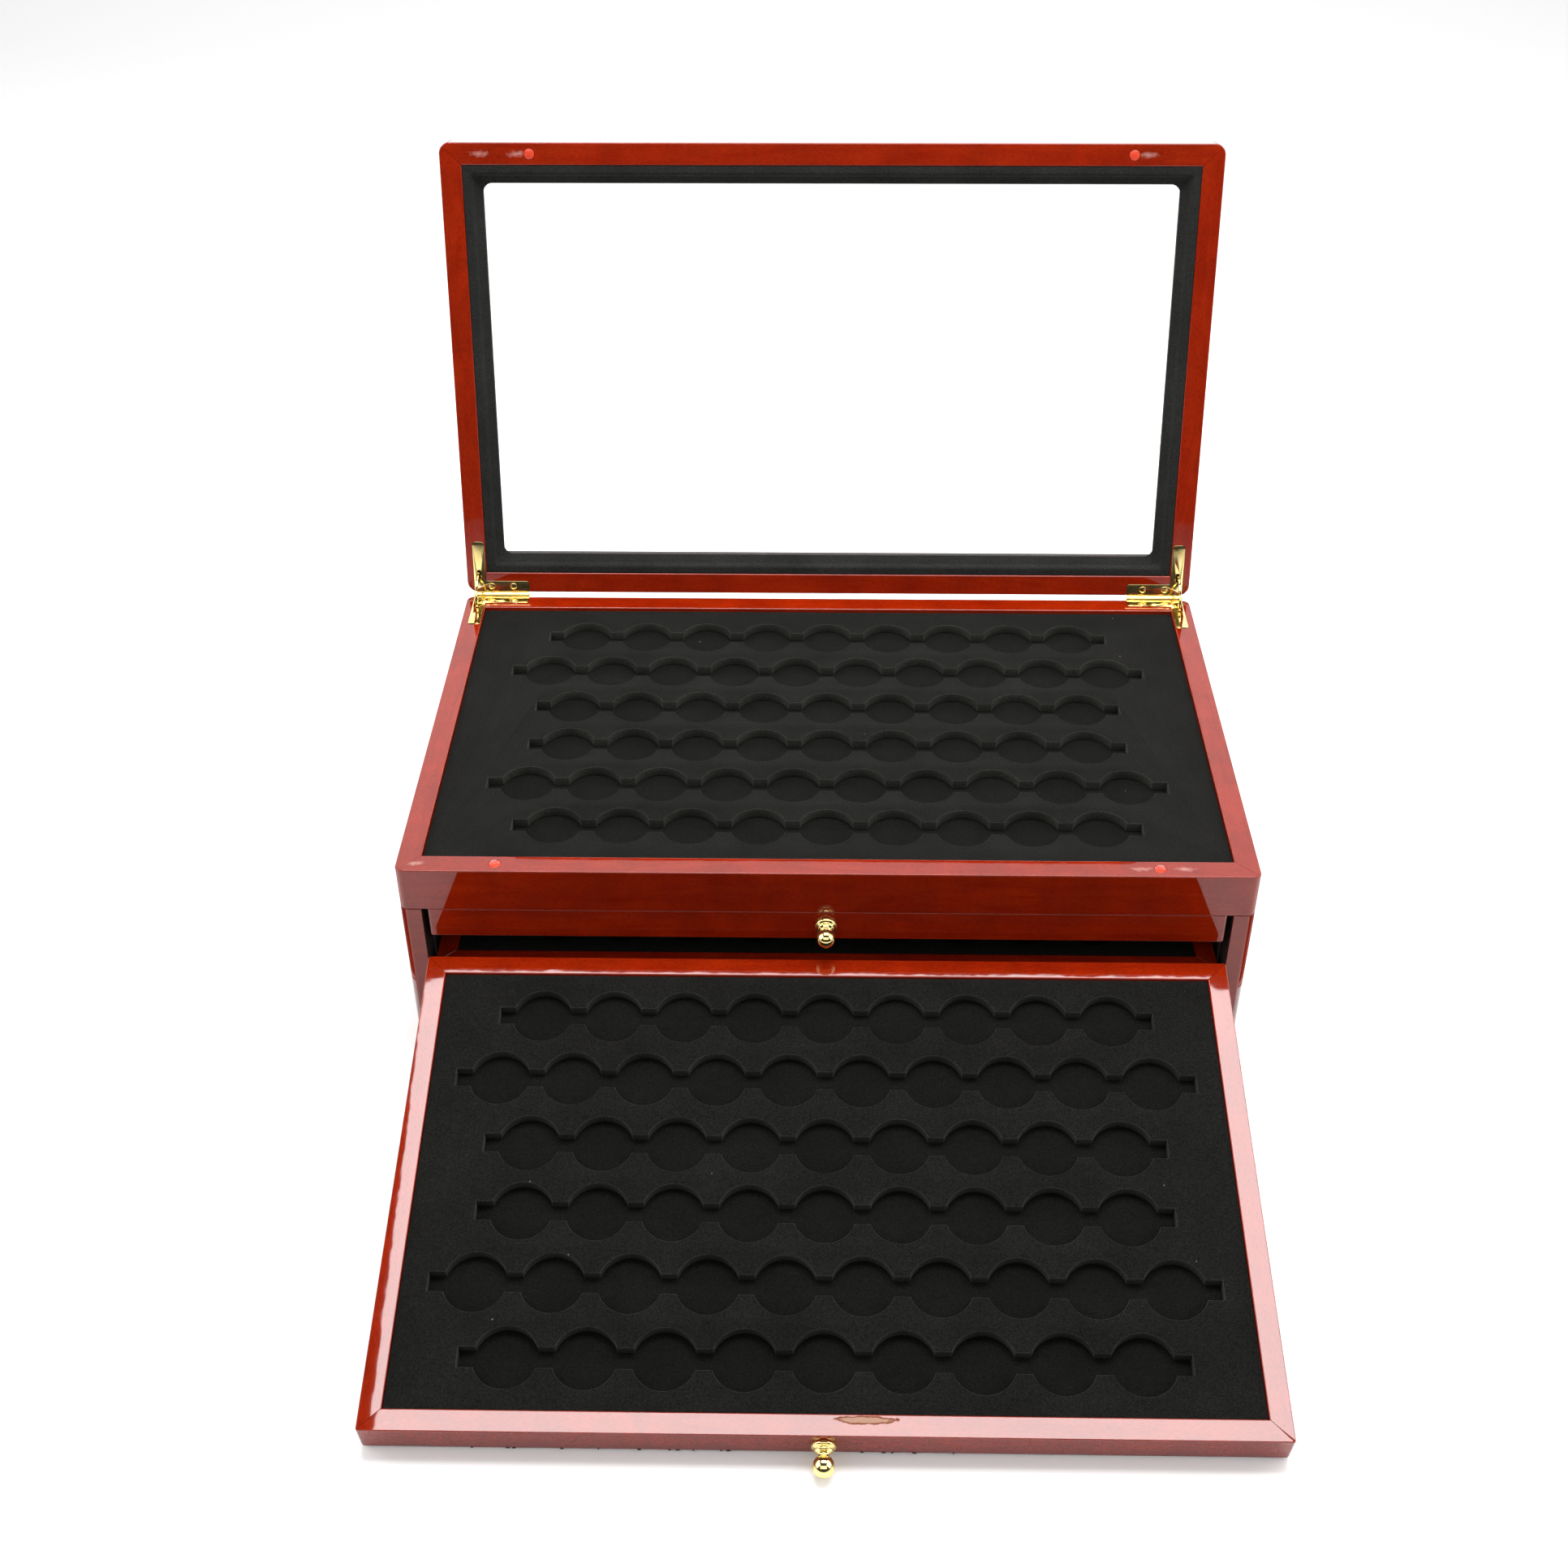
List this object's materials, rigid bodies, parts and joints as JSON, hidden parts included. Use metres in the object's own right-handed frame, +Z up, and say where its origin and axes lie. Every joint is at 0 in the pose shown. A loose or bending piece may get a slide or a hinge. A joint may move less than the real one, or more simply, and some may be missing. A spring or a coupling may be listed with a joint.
{
  "type": "coin display tray",
  "caption": "Lacquered wood coin case with an open glass lid on quadrant hinges, a recessed top tray and shallow drawers, one of them pulled out and leaning in front.",
  "frame": {"origin": "centre of the case's underside, on the table", "axes": "+Z up, -Y out of the case front towards the leaning drawer, +X to the right as seen from the front"},
  "size_m": [0.43, 0.5961, 0.3753],
  "materials": {
    "lacquered_wood": "clear high-gloss lacquer over red mahogany veneer",
    "dark_wood": "plain board, stained dark, matt",
    "black_flock": "short flock on foam, matt",
    "black_velvet": "velvet over a wood moulding, matt",
    "brass": "polished brass plate",
    "catch_cap": "orange-brown cap over a magnet",
    "clear_glass": "clear flat pane"
  },
  "bodies": {
    "case": {"case_back": "lacquered_wood", "case_base": "dark_wood", "case_plinth": "lacquered_wood", "case_side_left": "lacquered_wood", "case_side_right": "lacquered_wood", "catch_case_left": "catch_cap", "catch_case_right": "catch_cap", "hinge_case_leaf_left": "brass", "hinge_case_leaf_right": "brass", "hinge_pin_left": "brass", "hinge_pin_right": "brass", "runner_left": "dark_wood", "runner_right": "dark_wood", "top_deck": "dark_wood", "top_insert": "black_flock", "upper_frame_back": "lacquered_wood", "upper_frame_front": "lacquered_wood", "upper_frame_left": "lacquered_wood", "upper_frame_right": "lacquered_wood"},
    "lid": {"catch_lid_left": "catch_cap", "catch_lid_right": "catch_cap", "hinge_lid_leaf_left": "brass", "hinge_lid_leaf_right": "brass", "lid_glass": "clear_glass", "lid_moulding": "black_velvet", "lid_rail_back": "lacquered_wood", "lid_rail_front": "lacquered_wood", "lid_rail_left": "lacquered_wood", "lid_rail_right": "lacquered_wood"},
    "stay_left": {"hinge_stay_left": "brass"},
    "stay_right": {"hinge_stay_right": "brass"},
    "drawer_1": {"drawer_1_back": "lacquered_wood", "drawer_1_board": "dark_wood", "drawer_1_front": "lacquered_wood", "drawer_1_insert": "black_flock", "drawer_1_knob": "brass", "drawer_1_left": "lacquered_wood", "drawer_1_right": "lacquered_wood"},
    "drawer_2": {"drawer_2_back": "lacquered_wood", "drawer_2_board": "dark_wood", "drawer_2_front": "lacquered_wood", "drawer_2_insert": "black_flock", "drawer_2_knob": "brass", "drawer_2_left": "lacquered_wood", "drawer_2_right": "lacquered_wood"},
    "drawer_3": {"drawer_3_back": "lacquered_wood", "drawer_3_board": "dark_wood", "drawer_3_front": "lacquered_wood", "drawer_3_insert": "black_flock", "drawer_3_knob": "brass", "drawer_3_left": "lacquered_wood", "drawer_3_right": "lacquered_wood"},
    "drawer_4": {"drawer_4_back": "lacquered_wood", "drawer_4_board": "dark_wood", "drawer_4_front": "lacquered_wood", "drawer_4_insert": "black_flock", "drawer_4_knob": "brass", "drawer_4_left": "lacquered_wood", "drawer_4_right": "lacquered_wood"}
  },
  "joints": [
    {"name": "lid_hinge", "type": "hinge", "parent": "case", "child": "lid", "pos_m": [0, 0.1308, 0.12215], "axis": [1, 0, 0], "range_deg": [0, 103]},
    {"name": "stay_left_swing", "type": "hinge", "parent": "case", "child": "stay_left", "pos_m": [0, 0.1308, 0.12215], "axis": [1, 0, 0], "range_deg": [0, 51.5]},
    {"name": "stay_right_swing", "type": "hinge", "parent": "case", "child": "stay_right", "pos_m": [0, 0.1308, 0.12215], "axis": [1, 0, 0], "range_deg": [0, 51.5]},
    {"name": "drawer_1_slide", "type": "slide", "parent": "case", "child": "drawer_1", "axis": [0, -1, 0], "range_m": [0, 0.2]},
    {"name": "drawer_3_slide", "type": "slide", "parent": "case", "child": "drawer_3", "axis": [0, -1, 0], "range_m": [0, 0.2]},
    {"name": "drawer_2_tilt", "type": "hinge", "parent": "drawer_3", "child": "drawer_2", "pos_m": [0, -0.12176, 0.05937], "axis": [-1, 0, 0], "range_deg": [0, 13.5]},
    {"name": "drawer_4_slide", "type": "slide", "parent": "case", "child": "drawer_4", "axis": [0, -1, 0], "range_m": [0, 0.065]}
  ],
  "couplings": [
    {"joint": "stay_left_swing", "follows": "lid_hinge", "ratio": 0.5},
    {"joint": "stay_right_swing", "follows": "lid_hinge", "ratio": 0.5}
  ]
}
